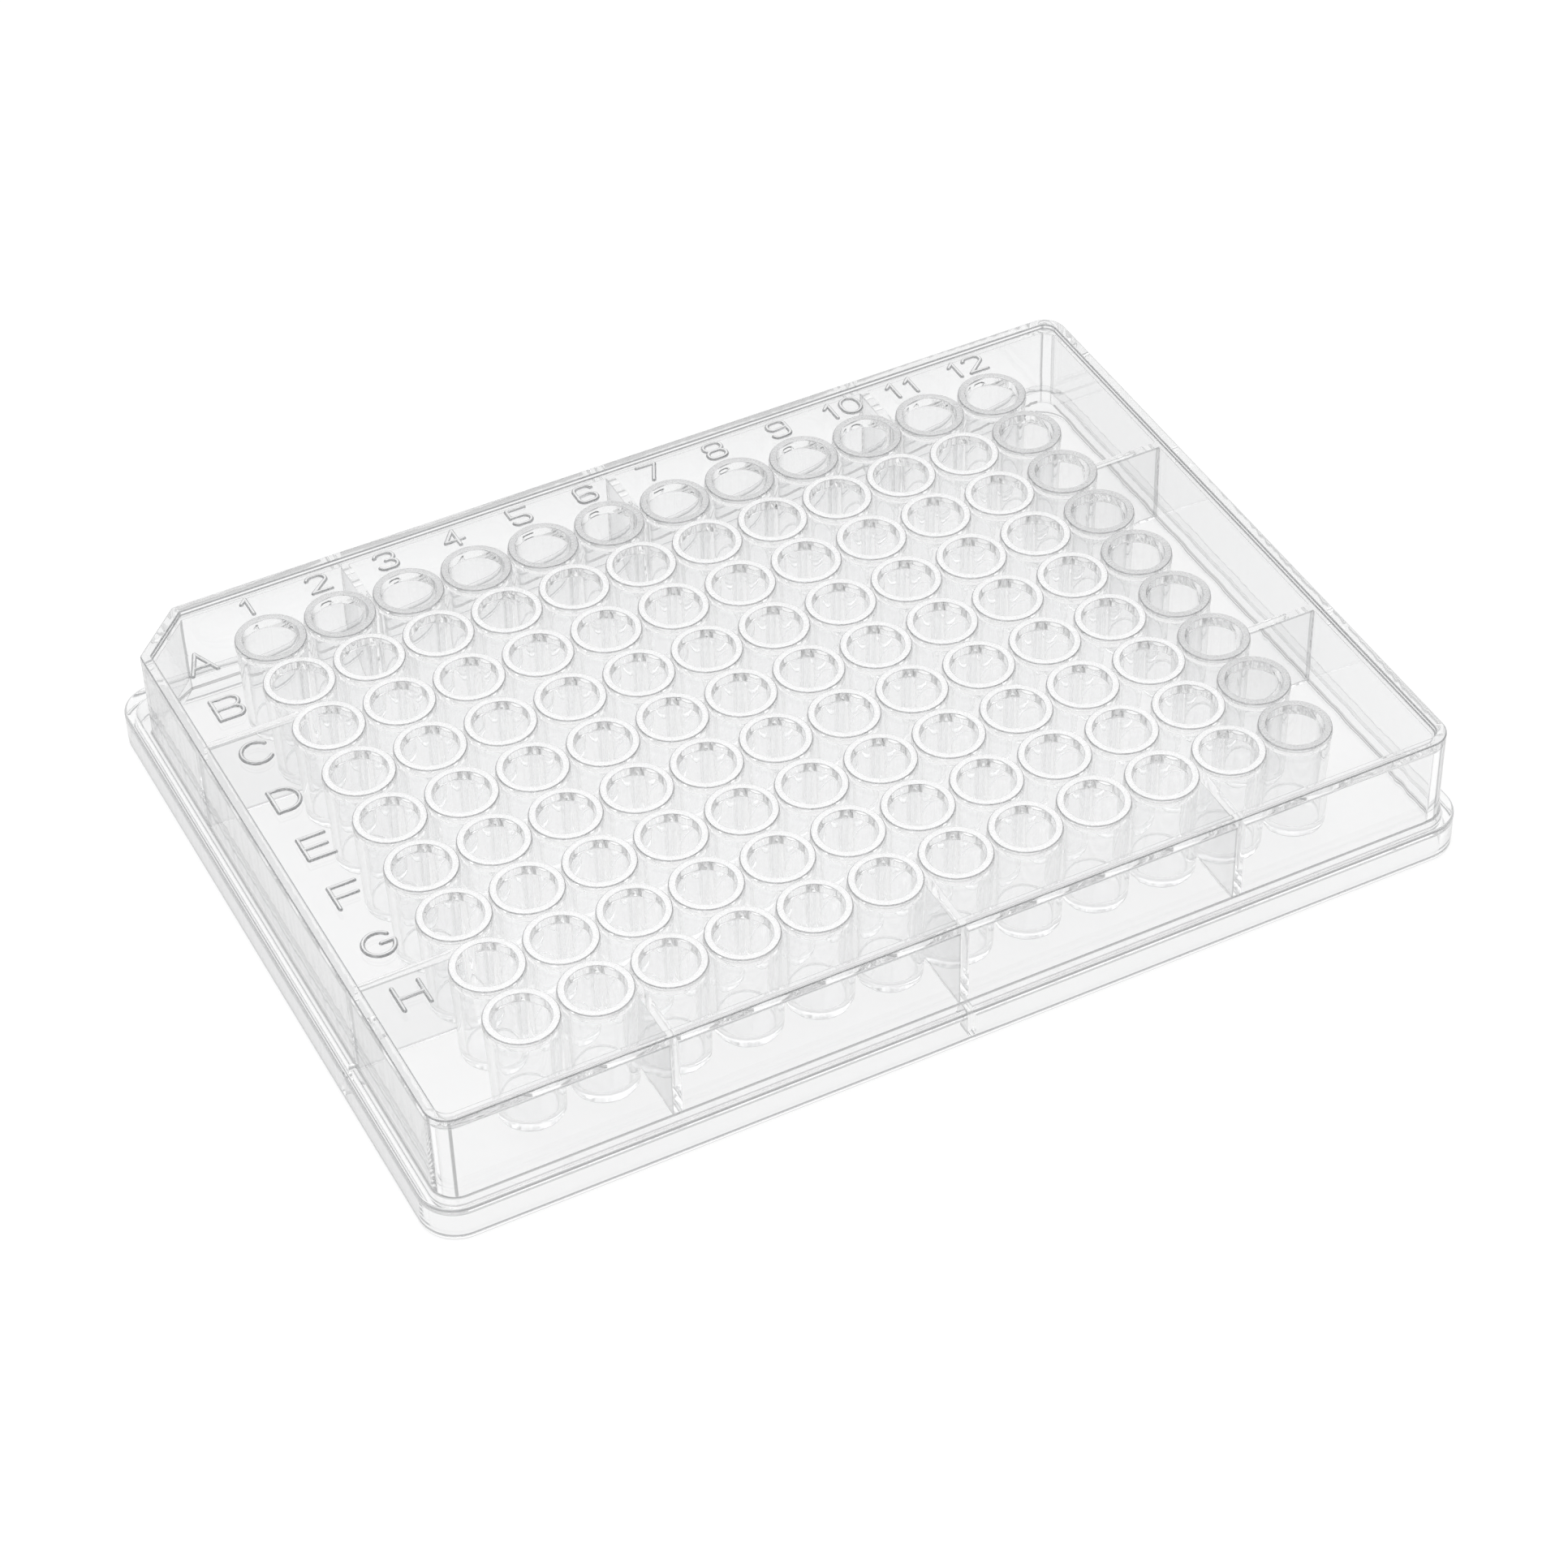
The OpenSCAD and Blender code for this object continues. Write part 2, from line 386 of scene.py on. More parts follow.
def makeBead(name, points, centre, radius):
    # a round bead along a path, half sunk in the deck, with round ends unless the path is closed
    path = [Vector(point) for point in points]
    around = labels["aroundSteps"]
    z = deckTop + labels["relief"] - radius
    closed = (path[0] - path[-1]).length < labels["samePlace"]
    if closed:
        path.pop()
    stations = []
    for k, point in enumerate(path):
        behind = path[k - 1] if closed or k else point
        ahead = path[(k + 1) % len(path)] if closed or k + 1 < len(path) else point
        stations.append((point, (ahead - behind).normalized(), radius))
    if not closed:
        steps = labels["endSteps"]
        bends = [math.pi / 2 * (k + labels["endStart"]) / steps for k in range(steps)]
        first = stations[0][1]
        last = stations[-1][1]
        foot = [(path[0] - first * radius * math.cos(a), first, radius * math.sin(a)) for a in bends]
        bends.reverse()
        head = [(path[-1] + last * radius * math.cos(a), last, radius * math.sin(a)) for a in bends]
        stations = foot + stations + head
    rings = []
    for point, heading, size in stations:
        side = Vector((-heading.y, heading.x))
        ring = []
        for k in range(around):
            a = 2 * math.pi * (k + 0.5) / around
            out = side * size * math.cos(a)
            up = size * math.sin(a)
            ring.append((centre[0] + point.x + out.x, centre[1] + point.y + out.y, z + up))
        rings.append(ring)
    bm = bmesh.new()
    skinRings(bm, rings, closed)
    return finishedPart(name, bm)


def bow(x, y, radius, start, end):
    # points round a centre, from one angle to another
    steps = max(4, round(abs(end - start) / labels["bowStep"]))
    return arcPoints(x, y, radius, start, end, steps)


def letterStrokes(letter):
    # centre lines, the ones that meet another stroke stopping on its middle
    h = (labels["letterHeight"] - labels["stroke"]) / 2
    w = labels["letterWidth"] * h
    r = h / 2
    if letter == "A":
        return [[(-w, -h), (0, h), (w, -h)], [(-0.7 * w, -0.4 * h), (0.7 * w, -0.4 * h)]]
    if letter == "B":
        return [
            [(-w, -h), (-w, h)],
            [(-w, h)] + bow(w - r, r, r, 90, -90) + [(-w, 0)],
            bow(w - r, -r, r, 90, -90) + [(-w, -h)],
        ]
    if letter == "C":
        return [bow(0, 0, h, 40, 320)]
    if letter == "D":
        return [[(-w, -h), (-w, h)], [(-w, h)] + bow(w - h, 0, h, 90, -90) + [(-w, -h)]]
    if letter == "E":
        return [[(w, h), (-w, h), (-w, -h), (w, -h)], [(-w, 0), (0.8 * w, 0)]]
    if letter == "F":
        return [[(w, h), (-w, h), (-w, -h)], [(-w, 0), (0.8 * w, 0)]]
    if letter == "G":
        return [bow(0, 0, h, 40, 360) + [(0.15 * h, 0)]]
    return [[(-w, -h), (-w, h)], [(w, -h), (w, h)], [(-w, 0), (w, 0)]]


def digitStrokes(digit):
    # the same for a digit; nine is a six turned round
    h = (labels["numberHeight"] - labels["stroke"]) / 2
    w = labels["digitWidth"] * h
    r = h / 2
    flat = w - r
    highHook = bow(-flat, r, r, 160, 90) + bow(flat, r, r, 90, -90)
    lowHook = bow(flat, -r, r, 90, -90) + bow(-flat, -r, r, 270, 200)
    lowBowl = bow(-flat, -r, r, 90, 270) + bow(flat, -r, r, -90, 90) + [(-flat, 0)]
    if digit == "0":
        return [bow(0, h - w, w, 0, 180) + bow(0, w - h, w, 180, 360) + [(w, h - w)]]
    if digit == "1":
        return [[(-r, r), (0, h), (0, -h)]]
    if digit == "2":
        return [bow(-flat, r, r, 160, 90) + bow(flat, r, r, 90, -30) + [(-w, -h), (w, -h)]]
    if digit == "3":
        return [highHook + [(0, 0)], lowHook]
    if digit == "4":
        return [[(0.5 * r, h), (-w, -0.35 * h), (w, -0.35 * h)], [(0.5 * r, h), (0.5 * r, -h)]]
    if digit == "5":
        return [[(w, h), (-w, h), (-w, 0)] + lowHook]
    if digit == "7":
        return [[(-w, h), (w, h), (-0.2 * w, -h)]]
    if digit == "8":
        return [lowBowl, [(x, y + 2 * r) for x, y in lowBowl]]
    stem = bow(flat, r, r, 20, 90) + bow(-flat, r, r, 90, 180) + bow(-flat, -r, r, 180, 270)
    six = [stem + bow(flat, -r, r, -90, 90), [(flat, 0), (-w, -0.2 * r)]]
    if digit == "6":
        return six
    return [[(-x, -y) for x, y in path] for path in six]


def makeSign(name, strokes, centre):
    # the beads of one letter or digit, each a hair slimmer than the one before so that none coincide
    pieces = [piece for stroke in strokes for piece in splitAtCorners(stroke)]
    beads = []
    for n, piece in enumerate(pieces):
        radius = (labels["stroke"] - n * labels["slimmer"]) / 2
        beads.append(makeBead(f"{name}_{n}", piece, centre, radius))
    return beads


def makeLabels():
    # row letters beside the first column, column numbers above the first row
    beads = []
    for k, letter in enumerate("ABCDEFGH"):
        centre = (labelX, gridY - k * wells["pitch"])
        beads += makeSign(f"letter_{letter}", letterStrokes(letter), centre)
    for column in range(wells["columns"]):
        number = str(column + 1)
        for k, digit in enumerate(number):
            shift = (k - (len(number) - 1) / 2) * labels["advance"] * labels["numberHeight"]
            centre = (column * wells["pitch"] - gridX + shift, labelY)
            beads += makeSign(f"number_{number}_{k}", digitStrokes(digit), centre)
    return beads


def combine(target, operation, tools):
    # solid union or difference with closed tools, which are used up
    for tool in tools:
        cutter = target.modifiers.new(operation, "BOOLEAN")
        cutter.operation = operation
        cutter.solver = "MANIFOLD"
        cutter.object = tool
    bpy.context.view_layer.update()
    evaluated = target.evaluated_get(bpy.context.evaluated_depsgraph_get())
    shaped = bpy.data.meshes.new_from_object(evaluated)
    target.modifiers.clear()
    target.data = shaped
    for tool in tools:
        bpy.data.objects.remove(tool)


finish = {
    "clear": (0.995, 0.996, 0.997, 1),
    "cloudy": (0.988, 0.989, 0.99, 1),
    "ior": 1.58,
    # painted shade: grey on rounded and marked edges
    "edgeShadeStops": [(0.1, 0), (0.3, 1), (0.9, 1), (0.985, 0)],
    "edgeShadeColour": (0.25, 0.255, 0.26, 1),
    # painted shade: grey laid on by area
    "areaShadeColour": (0.8, 0.803, 0.806, 1),
    # painted shade at shallow angles
    "glanceShadeColour": (0.25, 0.254, 0.258, 1),
    "glanceShadeStart": 0.5,
    "tubeGlanceShade": 0.33,
    # painted area shade of the skirt
    "outerAreaShade": 0.24,
    "polish": 0.006,
    "dullest": 0.035,
    "grainScale": 900,
    "grainDetail": 1,
    "grainRange": (0.35, 0.75),
    "flowScale": 55,
    "flowDepth": 0.00005,
    "streakScale": 750,
    "streakStretch": 0.03,
    "streakDepth": 0.000012,
    "streakSlopes": (0.5, 0.1),
}


def feed(tree, socket, given):
    # a link from another node, or a constant set on the socket
    if isinstance(given, bpy.types.NodeSocket):
        tree.links.new(given, socket)
    else:
        socket.default_value = given


def addMath(tree, operation, *terms):
    node = tree.nodes.new("ShaderNodeMath")
    node.operation = operation
    for socket, term in zip(node.inputs, terms):
        feed(tree, socket, term)
    return node.outputs["Value"]


def addRange(tree, value, given, wanted=(0, 1)):
    # value moved from the given range to the wanted one
    node = tree.nodes.new("ShaderNodeMapRange")
    names = ("Value", "From Min", "From Max", "To Min", "To Max")
    for name, term in zip(names, (value, *given, *wanted)):
        feed(tree, node.inputs[name], term)
    return node.outputs["Result"]


def addColourMix(tree, amount, first, second):
    # the colour sockets of a mix node have numbers, because their names occur twice
    node = tree.nodes.new("ShaderNodeMix")
    node.data_type = "RGBA"
    feed(tree, node.inputs[0], amount)
    feed(tree, node.inputs[6], first)
    feed(tree, node.inputs[7], second)
    return node.outputs[2]


def addNoise(tree, place, scale, detail):
    node = tree.nodes.new("ShaderNodeTexNoise")
    feed(tree, node.inputs["Vector"], place)
    feed(tree, node.inputs["Scale"], scale)
    node.inputs["Detail"].default_value = detail
    return node.outputs["Fac"]


def addBump(tree, height, depth):
    node = tree.nodes.new("ShaderNodeBump")
    node.inputs["Distance"].default_value = depth
    tree.links.new(height, node.inputs["Height"])
    return node.outputs["Normal"]


def addMark(tree, name):
    # one of the attributes that markSpots and markFaces write
    node = tree.nodes.new("ShaderNodeAttribute")
    node.attribute_name = name
    return node.outputs["Fac"]


def addGreyRamp(tree, value, stops):
    # stops as place and level
    node = tree.nodes.new("ShaderNodeValToRGB")
    elements = node.color_ramp.elements
    while len(elements) < len(stops):
        elements.new(0.5)
    for element, (place, level) in zip(elements, stops):
        element.position = place
        element.color = (level, level, level, 1)
    tree.links.new(value, node.inputs["Fac"])
    return node.outputs["Color"]


def makeGroup(name, inputs, outputs):
    # a node group with named sockets, given back with what comes in and what goes out
    group = bpy.data.node_groups.new(name, "ShaderNodeTree")
    for direction, sockets in (("INPUT", inputs), ("OUTPUT", outputs)):
        for title, kind in sockets:
            group.interface.new_socket(name=title, in_out=direction, socket_type="NodeSocket" + kind)
    given = group.nodes.new("NodeGroupInput").outputs
    result = group.nodes.new("NodeGroupOutput").inputs
    return group, given, result


def makeGrainGroup():
    # fine uneven polish of moulded plastic, used by the clear skin and by the lips
    inputs = [("Vector", "Vector"), ("Scale", "Float"), ("Smoothest", "Float"), ("Dullest", "Float")]
    outputs = [("Roughness", "Float"), ("Mask", "Float")]
    group, given, result = makeGroup("moulded grain", inputs, outputs)
    noise = addNoise(group, given["Vector"], given["Scale"], finish["grainDetail"])
    polish = addRange(group, noise, finish["grainRange"], (given["Smoothest"], given["Dullest"]))
    group.links.new(polish, result["Roughness"])
    group.links.new(noise, result["Mask"])
    return group


def makeAreaShadeGroup():
    # painted area shade: greys the colour by the area shade mark, used by the clear skin and by the
    # lips
    inputs = [("Clear Color", "Color"), ("Area Shade Color", "Color")]
    outputs = [("Base Color", "Color"), ("Amount", "Float")]
    group, given, result = makeGroup("painted area shade", inputs, outputs)
    shadeAmount = addMark(group, "areaShade")
    tinted = addColourMix(group, shadeAmount, given["Clear Color"], given["Area Shade Color"])
    group.links.new(tinted, result["Base Color"])
    group.links.new(shadeAmount, result["Amount"])
    return group


def addGrain(tree, group, scale, smoothest, dullest):
    grain = tree.nodes.new("ShaderNodeGroup")
    grain.node_tree = group
    grain.inputs["Scale"].default_value = scale
    grain.inputs["Smoothest"].default_value = smoothest
    grain.inputs["Dullest"].default_value = dullest
    place = tree.nodes.new("ShaderNodeTexCoord")
    tree.links.new(place.outputs["Object"], grain.inputs["Vector"])
    return grain


def addAreaShade(tree, group, clearColour, areaShadeColour):
    areaShade = tree.nodes.new("ShaderNodeGroup")
    areaShade.node_tree = group
    areaShade.inputs["Area Shade Color"].default_value = areaShadeColour
    tree.links.new(clearColour, areaShade.inputs["Clear Color"])
    return areaShade


def clearPlastic(grainGroup, areaShadeGroup):
    # clear polystyrene: slow flow waves on the flats, draw streaks down the walls, uneven polish
    material = bpy.data.materials.new("clear_polystyrene")
    material.use_nodes = True
    tree = material.node_tree
    shader = tree.nodes["Principled BSDF"]
    shader.inputs["Transmission Weight"].default_value = 1
    shader.inputs["IOR"].default_value = finish["ior"]
    grain = addGrain(tree, grainGroup, finish["grainScale"], finish["polish"], finish["dullest"])
    tree.links.new(grain.outputs["Roughness"], shader.inputs["Roughness"])

    place = tree.nodes.new("ShaderNodeTexCoord").outputs["Object"]
    flow = addNoise(tree, place, finish["flowScale"], 0)
    stretch = tree.nodes.new("ShaderNodeMapping")
    stretch.inputs["Scale"].default_value = (1, 1, finish["streakStretch"])
    tree.links.new(place, stretch.inputs["Vector"])
    streak = addNoise(tree, stretch.outputs["Vector"], finish["streakScale"], 0)
    tint = addColourMix(tree, flow, finish["clear"], finish["cloudy"])
    # painted area shade over the flow tint
    areaShade = addAreaShade(tree, areaShadeGroup, tint, finish["areaShadeColour"])

    # painted shade on edges: greyer where the skin turns between upright and flat or where an upright
    # edge is marked
    skin = tree.nodes.new("ShaderNodeNewGeometry")
    parts = tree.nodes.new("ShaderNodeSeparateXYZ")
    tree.links.new(skin.outputs["Normal"], parts.inputs["Vector"])
    slope = addMath(tree, "ABSOLUTE", parts.outputs["Z"])
    turnShade = addGreyRamp(tree, slope, finish["edgeShadeStops"])
    turnEdgeShade = addMath(tree, "MULTIPLY", turnShade, addMark(tree, "painted_edge_shade"))
    paintedEdgeShade = addMath(tree, "MAXIMUM", turnEdgeShade, addMark(tree, "painted_upright_shade"))
    edgeShaded = addColourMix(tree, paintedEdgeShade, areaShade.outputs["Base Color"], finish["edgeShadeColour"])

    # painted shade at a shallow angle too, more where the painted area shade is stronger
    facing = tree.nodes.new("ShaderNodeLayerWeight").outputs["Facing"]
    glanceShade = addRange(tree, facing, (finish["glanceShadeStart"], 1))
    rise = (1 - finish["tubeGlanceShade"]) / finish["outerAreaShade"]
    shadeShare = addMath(tree, "MULTIPLY_ADD", areaShade.outputs["Amount"], rise, finish["tubeGlanceShade"])
    shadeShare.node.use_clamp = True
    glanceShadeShare = addMath(tree, "MULTIPLY", glanceShade, shadeShare)
    glanceShaded = addColourMix(tree, glanceShadeShare, edgeShaded, finish["glanceShadeColour"])
    tree.links.new(glanceShaded, shader.inputs["Base Color"])

    upright = addRange(tree, slope, finish["streakSlopes"])
    drawn = addMath(tree, "MULTIPLY", streak, upright)
    waves = addBump(tree, flow, finish["flowDepth"])
    streaks = addBump(tree, drawn, finish["streakDepth"])
    tree.links.new(waves, streaks.node.inputs["Normal"])
    tree.links.new(streaks, shader.inputs["Normal"])
    return material


lipFinish = {
    "white": (0.985, 0.986, 0.988, 1),
    "shaded": (0.94, 0.942, 0.945, 1),
    # painted shade: grey of the outer lips
    "areaShadeGrey": (0.58, 0.583, 0.587, 1),
    "clearness": 0.35,
    "grainScale": 2600,
    "smoothest": 0.22,
    "dullest": 0.42,
    "grainDepth": 0.000004,
}


def milkyLips(grainGroup, areaShadeGroup):
    # the flat tops of the lips, satin and a little milky from outside, clear from inside the plastic
    material = bpy.data.materials.new("satin_lips")
    material.use_nodes = True
    tree = material.node_tree
    shader = tree.nodes["Principled BSDF"]
    shader.inputs["Transmission Weight"].default_value = lipFinish["clearness"]
    shader.inputs["IOR"].default_value = finish["ior"]
    smoothest = lipFinish["smoothest"]
    grain = addGrain(tree, grainGroup, lipFinish["grainScale"], smoothest, lipFinish["dullest"])
    tint = addColourMix(tree, grain.outputs["Mask"], lipFinish["white"], lipFinish["shaded"])
    # painted shade: the outer lips greyed by the painted area shade
    areaShade = addAreaShade(tree, areaShadeGroup, tint, lipFinish["areaShadeGrey"])
    bump = addBump(tree, grain.outputs["Mask"], lipFinish["grainDepth"])
    tree.links.new(areaShade.outputs["Base Color"], shader.inputs["Base Color"])
    tree.links.new(grain.outputs["Roughness"], shader.inputs["Roughness"])
    tree.links.new(bump, shader.inputs["Normal"])

    inner = tree.nodes.new("ShaderNodeBsdfPrincipled")
    inner.inputs["Transmission Weight"].default_value = 1
    inner.inputs["IOR"].default_value = finish["ior"]
    inner.inputs["Roughness"].default_value = finish["polish"]
    tree.links.new(tint, inner.inputs["Base Color"])
    side = tree.nodes.new("ShaderNodeNewGeometry")
    choose = tree.nodes.new("ShaderNodeMixShader")
    tree.links.new(side.outputs["Backfacing"], choose.inputs["Fac"])
    tree.links.new(shader.outputs["BSDF"], choose.inputs[1])
    tree.links.new(inner.outputs["BSDF"], choose.inputs[2])
    tree.links.new(choose.outputs[0], tree.nodes["Material Output"].inputs["Surface"])
    return material


def smoothSkin(part, sharpAngle, sameSpot):
    # smooth curved faces, crisp edges, flat faces kept flat
    bm = bmesh.new()
    bm.from_mesh(part.data)
    bmesh.ops.dissolve_degenerate(bm, edges=bm.edges, dist=sameSpot)
    bmesh.ops.triangulate(bm, faces=[face for face in bm.faces if len(face.verts) > 4])
    for face in bm.faces:
        face.smooth = True
    for edge in bm.edges:
        joined = len(edge.link_faces) == 2
        edge.smooth = joined and edge.calc_face_angle(0) < math.radians(sharpAngle)
    print("open edges", sum(len(edge.link_faces) != 2 for edge in bm.edges))
    bm.to_mesh(part.data)
    bm.free()
    weighted = part.modifiers.new("flat faces lead", "WEIGHTED_NORMAL")
    weighted.mode = "FACE_AREA"
    weighted.keep_sharp = True


# painted edge shade and painted area shade of each area, then where areas end: millimetres, slopes of
# the skin, degrees
areas = {
    "footEdges": 1.0,
    "baseEdges": 0.72,
    "underEdges": 0.45,
    "rimEdges": 1.0,
    "lipEdges": 0.9,
    "wellEdges": 0.12,
    "outerWellEdges": 0.35,
    "cutEdges": 0.9,
    "cornerEdges": 0.65,
    "ribJoints": 0.8,
    "ribFlanks": 0.04,
    "innerAreaShade": 0.03,
    # painted area shade in the field of wells and on the outer lips
    "boreAreaShade": 0.06,
    "outerWellAreaShade": 0.1,
    "outerLipShade": 0.8,
    "fieldMargin": 0.2,
    "footHeight": 0.5,
    "aboveStep": 0.5,
    "aboveDeck": 0.15,
    "belowDeck": 0.2,
    "skinMargin": 0.05,
    "wallMargin": 0.02,
    "ribMargin": 0.1,
    "lipMargin": 0.01,
    "flatSlope": 0.99,
    "uprightSlope": 0.1,
    "squareTurn": 0.05,
    "cornerLean": (20, 28),
}


def onSkirt(x, y):
    # outside the field of wells
    half = wells["lip"] / 2
    margin = areas["fieldMargin"]
    return abs(x) > gridX + half + margin or abs(y) > gridY + half + margin


def skirtAmounts(z):
    # painted edge shade and painted area shade of the skirt, from the foot upwards
    if z < areas["footHeight"]:
        edge = areas["footEdges"]
    elif z < skirt["baseHeight"] + areas["aboveStep"]:
        edge = areas["baseEdges"]
    elif z < deckUnder + areas["skinMargin"]:
        edge = areas["underEdges"]
    else:
        edge = areas["rimEdges"]
    return edge, finish["outerAreaShade"]


def wellAmounts(x, y, z):
    # the same for lips, outermost wells, bores, and the tubes and deck between them
    half = wells["pitch"] / 2
    if z > deckTop + areas["aboveDeck"]:
        # painted shade: lips of the last column and the first row greyer
        shadedOuterLip = x > gridX - half or y > gridY - half
        return areas["lipEdges"], areas["outerLipShade"] if shadedOuterLip else 0
    if abs(x) > gridX - half or abs(y) > gridY - half:
        return areas["outerWellEdges"], areas["outerWellAreaShade"]
    offX = (x + gridX + half) % wells["pitch"] - half
    offY = (y + gridY + half) % wells["pitch"] - half
    margin = areas["skinMargin"]
    if math.hypot(offX, offY) < wells["mouth"] / 2 + margin and z > floorZ - margin:
        return areas["wellEdges"], areas["boreAreaShade"]
    return areas["wellEdges"], areas["innerAreaShade"] if z > deckUnder - areas["belowDeck"] else 0


def uprightEdgeShade(x, y, z, normal):
    # painted edge shade of an upright face of the skirt: rib joints and flanks, the cut corner, round
    # corners
    insideX = wallLength / 2 - skirt["wall"] - areas["wallMargin"]
    insideY = wallWidth / 2 - skirt["wall"] - areas["wallMargin"]
    turnX = abs(normal.x)
    turnY = abs(normal.y)
    square = min(turnX, turnY) < areas["squareTurn"]
    if square and abs(x) < insideX and abs(y) < insideY and z < deckUnder - areas["ribMargin"]:
        nearWall = max(abs(x) - insideX, abs(y) - insideY) > -ribs["joint"]
        nearDeck = z > deckUnder - ribs["joint"]
        return areas["ribJoints"] if nearWall or nearDeck else areas["ribFlanks"]
    if z <= skirt["baseHeight"]:
        return 0
    if x < 0 < y and not square and abs(turnX - turnY) > areas["squareTurn"]:
        return areas["cutEdges"]
    lean = abs(math.degrees(math.atan2(turnY, turnX)) - 45)
    return areas["cornerEdges"] if areas["cornerLean"][0] < lean < areas["cornerLean"][1] else 0


def markSpots(part):
    # painted edge shade and painted area shade at every vertex
    edges = []
    areaShades = []
    for vertex in part.data.vertices:
        x, y, z = vertex.co / mm
        edge, areaShade = skirtAmounts(z) if onSkirt(x, y) else wellAmounts(x, y, z)
        edges.append(edge)
        areaShades.append(areaShade)
    part.data.attributes.new("painted_edge_shade", "FLOAT", "POINT").data.foreach_set("value", edges)
    part.data.attributes.new("areaShade", "FLOAT", "POINT").data.foreach_set("value", areaShades)


def markFaces(part):
    # painted shade on upright edges, and the lip tops in the second material
    uprightShades = []
    for face in part.data.polygons:
        x, y, z = face.center / mm
        outside = onSkirt(x, y)
        flatTop = face.normal.z > areas["flatSlope"] and z > lipTop - areas["lipMargin"]
        face.material_index = 1 if flatTop and not outside else 0
        upright = outside and abs(face.normal.z) < areas["uprightSlope"]
        uprightShades.append(uprightEdgeShade(x, y, z, face.normal) if upright else 0)
    part.data.attributes.new("painted_upright_shade", "FLOAT", "FACE").data.foreach_set("value", uprightShades)


print("moulding the skirt, deck and rim")
plate = makeSkirt()
plate.name = "clear_plate"
print("adding tubes, ribs and labels")
combine(plate, "UNION", [makeTubes(), makeRibs(), makeGussets()])
combine(plate, "UNION", makeLabels())
print("opening the wells")
combine(plate, "DIFFERENCE", [makeBores()])
print("triangles", sum(len(face.vertices) - 2 for face in plate.data.polygons))
smoothSkin(plate, sharpAngle=42, sameSpot=2e-7)

print("finishing the plastic")
grainGroup = makeGrainGroup()
areaShadeGroup = makeAreaShadeGroup()
plate.data.materials.clear()
plate.data.materials.append(clearPlastic(grainGroup, areaShadeGroup))
plate.data.materials.append(milkyLips(grainGroup, areaShadeGroup))
markFaces(plate)
markSpots(plate)
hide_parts("plate")
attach(plate, "root")

studio = {
    "floorSize": 6.0,
    "floorColour": (0.16, 0.16, 0.16, 1),
    "floorGlow": 0.88,
    "bounceColour": (0.9, 0.9, 0.9, 1),
    "sky": [(0.0, 1.0), (0.2, 1.0), (0.28, 0.42), (0.5, 0.42), (0.75, 1.32)],
    "lampPlace": (-0.6, -0.5, 1.2),
    "lampAim": (0, 0, 0),
    "lampSize": 0.8,
    "lampPower": 3,
    "bounces": 64,
}


def makeFloor():
    # pale floor with the shadow of the plate, the same seen directly, mirrored or through the plastic
    bm = bmesh.new()
    bmesh.ops.create_grid(bm, x_segments=2, y_segments=2, size=studio["floorSize"] / 2 / mm)
    floor = finishedPart("floor", bm)
    material = bpy.data.materials.new("white_floor")
    material.use_nodes = True
    tree = material.node_tree
    tree.nodes.clear()
    path = tree.nodes.new("ShaderNodeLightPath").outputs
    direct = addMath(tree, "MAXIMUM", path["Is Camera Ray"], path["Is Transmission Ray"])
    seen = addMath(tree, "MAXIMUM", direct, path["Is Glossy Ray"])
    pale = tree.nodes.new("ShaderNodeBsdfDiffuse")
    pale.inputs["Color"].default_value = studio["floorColour"]
    lit = tree.nodes.new("ShaderNodeBsdfDiffuse")
    lit.inputs["Color"].default_value = studio["bounceColour"]
    glow = tree.nodes.new("ShaderNodeEmission")
    glow.inputs["Strength"].default_value = studio["floorGlow"]
    both = tree.nodes.new("ShaderNodeAddShader")
    tree.links.new(pale.outputs[0], both.inputs[0])
    tree.links.new(glow.outputs[0], both.inputs[1])
    choose = tree.nodes.new("ShaderNodeMixShader")
    tree.links.new(seen, choose.inputs["Fac"])
    tree.links.new(lit.outputs[0], choose.inputs[1])
    tree.links.new(both.outputs[0], choose.inputs[2])
    out = tree.nodes.new("ShaderNodeOutputMaterial")
    tree.links.new(choose.outputs[0], out.inputs["Surface"])
    floor.data.materials.append(material)


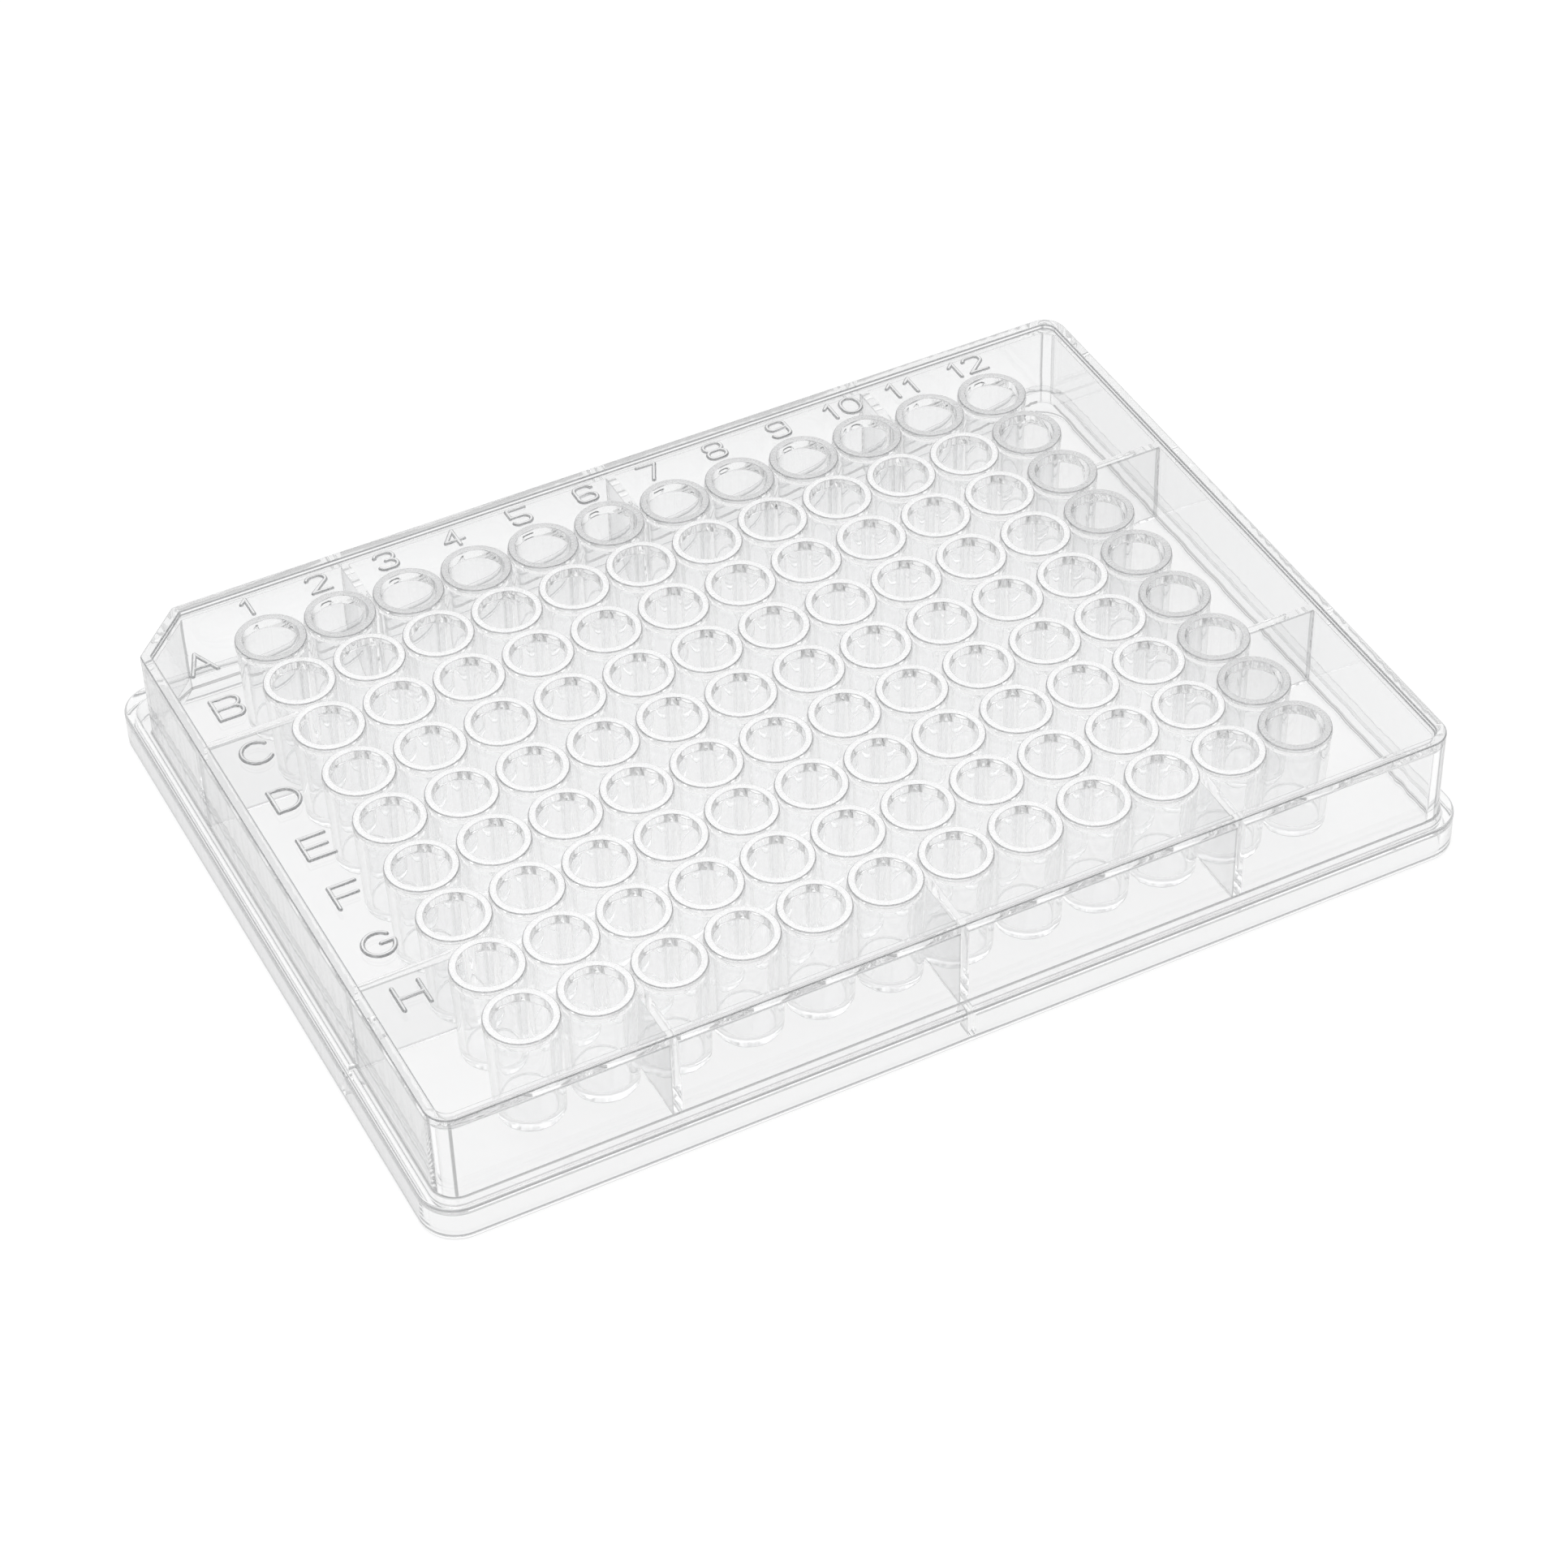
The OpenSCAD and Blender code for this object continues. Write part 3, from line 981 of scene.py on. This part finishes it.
def makeWorld():
    # one studio for every ray: pale backdrop low down, dim upper walls, bright ceiling
    world = bpy.data.worlds.new("studio")
    world.use_nodes = True
    world.cycles.sampling_method = "NONE"
    bpy.context.scene.world = world
    tree = world.node_tree
    background = tree.nodes["Background"]
    where = tree.nodes.new("ShaderNodeTexCoord")
    split = tree.nodes.new("ShaderNodeSeparateXYZ")
    tree.links.new(where.outputs["Generated"], split.inputs["Vector"])
    brightest = max(level for height, level in studio["sky"])
    stops = [(height, level / brightest) for height, level in studio["sky"]]
    shade = addGreyRamp(tree, split.outputs["Z"], stops)
    tree.links.new(shade, background.inputs["Color"])
    background.inputs["Strength"].default_value = brightest


def makeLamp():
    lamp = bpy.data.lights.new("key", "AREA")
    lamp.shape = "RECTANGLE"
    lamp.size = studio["lampSize"]
    lamp.size_y = studio["lampSize"]
    lamp.energy = studio["lampPower"]
    holder = bpy.data.objects.new("key", lamp)
    place = Vector(studio["lampPlace"])
    heading = Vector(studio["lampAim"]) - place
    holder.location = place
    holder.rotation_euler = heading.to_track_quat("-Z", "Y").to_euler()
    bpy.context.scene.collection.objects.link(holder)


view = {
    "azimuth": -26.103,
    "elevation": 42.633,
    "roll": -1.684,
    "distance": 0.49124,
    "target": (-0.0074, -0.0167, 0.017),
    "lens": 98.16,
    "sensor": 36,
    "nearest": 0.01,
}


def makeCamera():
    azimuth = math.radians(view["azimuth"])
    elevation = math.radians(view["elevation"])
    back = Vector((
        math.sin(azimuth) * math.cos(elevation),
        -math.cos(azimuth) * math.cos(elevation),
        math.sin(elevation),
    ))
    right = (-back).cross(Vector((0, 0, 1))).normalized()
    up = right.cross(-back)
    turned = Matrix.Rotation(math.radians(view["roll"]), 3, back)
    axes = Matrix((turned @ right, turned @ up, back)).transposed()
    place = Vector(view["target"]) + back * view["distance"]
    data = bpy.data.cameras.new("camera")
    data.lens = view["lens"]
    data.sensor_width = view["sensor"]
    data.clip_start = view["nearest"]
    camera = bpy.data.objects.new("camera", data)
    camera.matrix_world = Matrix.Translation(place) @ axes.to_4x4()
    bpy.context.scene.collection.objects.link(camera)
    bpy.context.scene.camera = camera


print("setting the studio")
makeFloor()
makeWorld()
makeLamp()
makeCamera()
scene = bpy.context.scene
scene.view_settings.view_transform = "Standard"
scene.cycles.max_bounces = studio["bounces"]
scene.cycles.transmission_bounces = studio["bounces"]
scene.cycles.glossy_bounces = studio["bounces"]
